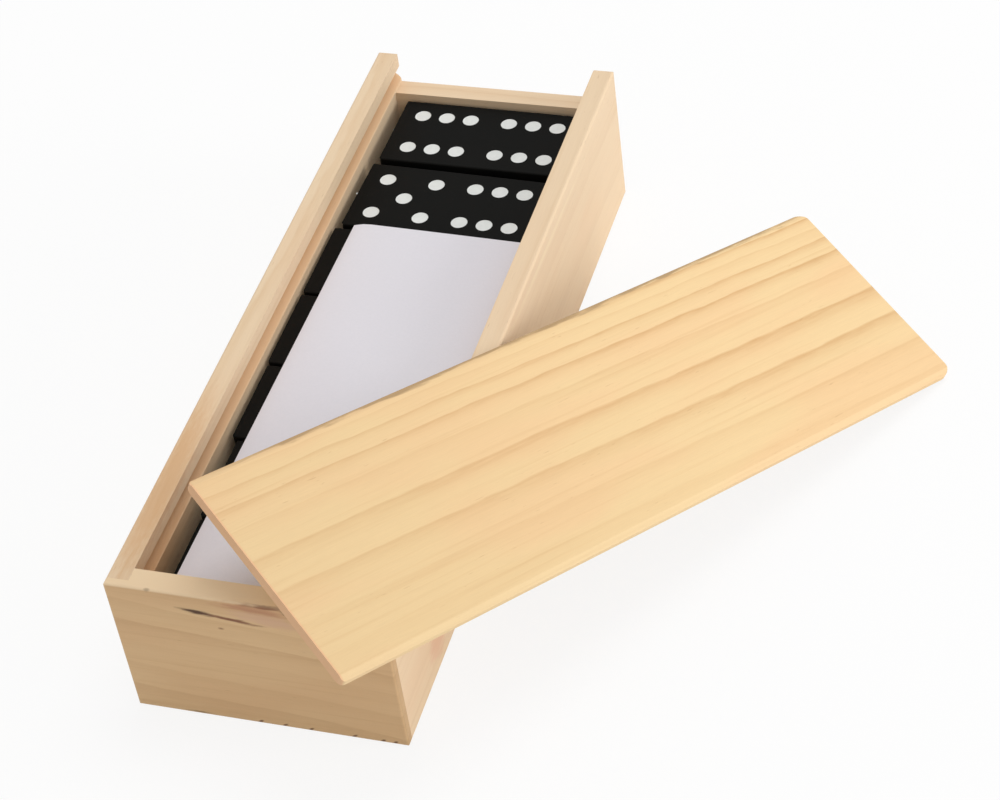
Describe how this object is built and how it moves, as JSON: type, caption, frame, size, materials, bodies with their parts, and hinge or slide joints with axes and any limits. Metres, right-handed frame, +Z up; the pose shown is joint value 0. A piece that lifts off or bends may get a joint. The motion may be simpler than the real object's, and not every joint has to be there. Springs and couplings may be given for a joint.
{
  "type": "domino storage box",
  "caption": "Open pine box with inner grooves for a sliding lid, which leans on its right wall; it holds black domino stones with white pips and a folded leaflet.",
  "frame": {"origin": "centre of the box's underside, on the surface it stands on", "axes": "+Z up; +Y along the box towards its mouth, where the lid slides out; +X towards the wall that the lid leans on"},
  "size_m": [0.124, 0.165, 0.0476],
  "materials": {
    "box_pine": "bare sanded pine",
    "end_pine": "bare sanded pine",
    "lid_pine": "bare sanded pine",
    "black_stone": "black satin lacquer, with white pips",
    "leaflet_paper": "matt white",
    "pip_paint": "matt white paint in the stones' recesses"
  },
  "bodies": {
    "box": {"floor_panel": "box_pine", "left_wall": "box_pine", "right_wall": "box_pine", "end_wall": "end_pine", "mouth_wall": "box_pine", "domino_0_0": "black_stone", "domino_1_3": "black_stone", "domino_4_4": "black_stone", "domino_4_6": "black_stone", "domino_0_1": "black_stone", "domino_2_3": "black_stone", "domino_0_5": "black_stone", "domino_3_6": "black_stone", "domino_1_1": "black_stone", "domino_3_3": "black_stone", "domino_1_5": "black_stone", "domino_2_6": "black_stone", "domino_0_2": "black_stone", "domino_0_4": "black_stone", "domino_2_5": "black_stone", "domino_1_6": "black_stone", "domino_1_2": "black_stone", "domino_1_4": "black_stone", "domino_3_5": "black_stone", "domino_0_6": "black_stone"},
    "domino_2_2": {"domino_2_2": "black_stone"},
    "domino_2_4": {"domino_2_4": "black_stone"},
    "domino_4_5": {"domino_4_5": "black_stone"},
    "domino_5_6": {"domino_5_6": "black_stone"},
    "domino_0_3": {"domino_0_3": "black_stone"},
    "domino_3_4": {"domino_3_4": "black_stone"},
    "domino_5_5": {"domino_5_5": "black_stone"},
    "domino_6_6": {"domino_6_6": "black_stone"},
    "lid": {"lid": "lid_pine"},
    "leaflet": {"leaflet": "leaflet_paper"}
  },
  "joints": [
    {"name": "lid_lift", "type": "slide", "parent": "box", "child": "lid", "axis": [0, 0, 1], "range_m": [0, 0.08]},
    {"name": "leaflet_slide", "type": "slide", "parent": "box", "child": "leaflet", "axis": [0, 1, 0], "range_m": [0, 0.04]},
    {"name": "domino_2_2_lift", "type": "slide", "parent": "box", "child": "domino_2_2", "axis": [0, 0, 1], "range_m": [0, 0.04]},
    {"name": "domino_2_4_lift", "type": "slide", "parent": "domino_2_2", "child": "domino_2_4", "axis": [0, 0, 1], "range_m": [0, 0.04]},
    {"name": "domino_4_5_lift", "type": "slide", "parent": "domino_2_4", "child": "domino_4_5", "axis": [0, 0, 1], "range_m": [0, 0.04]},
    {"name": "domino_5_6_lift", "type": "slide", "parent": "domino_4_5", "child": "domino_5_6", "axis": [0, 0, 1], "range_m": [0, 0.04]},
    {"name": "domino_0_3_lift", "type": "slide", "parent": "box", "child": "domino_0_3", "axis": [0, 0, 1], "range_m": [0, 0.04]},
    {"name": "domino_3_4_lift", "type": "slide", "parent": "domino_0_3", "child": "domino_3_4", "axis": [0, 0, 1], "range_m": [0, 0.04]},
    {"name": "domino_5_5_lift", "type": "slide", "parent": "domino_3_4", "child": "domino_5_5", "axis": [0, 0, 1], "range_m": [0, 0.04]},
    {"name": "domino_6_6_lift", "type": "slide", "parent": "domino_5_5", "child": "domino_6_6", "axis": [0, 0, 1], "range_m": [0, 0.04]}
  ]
}
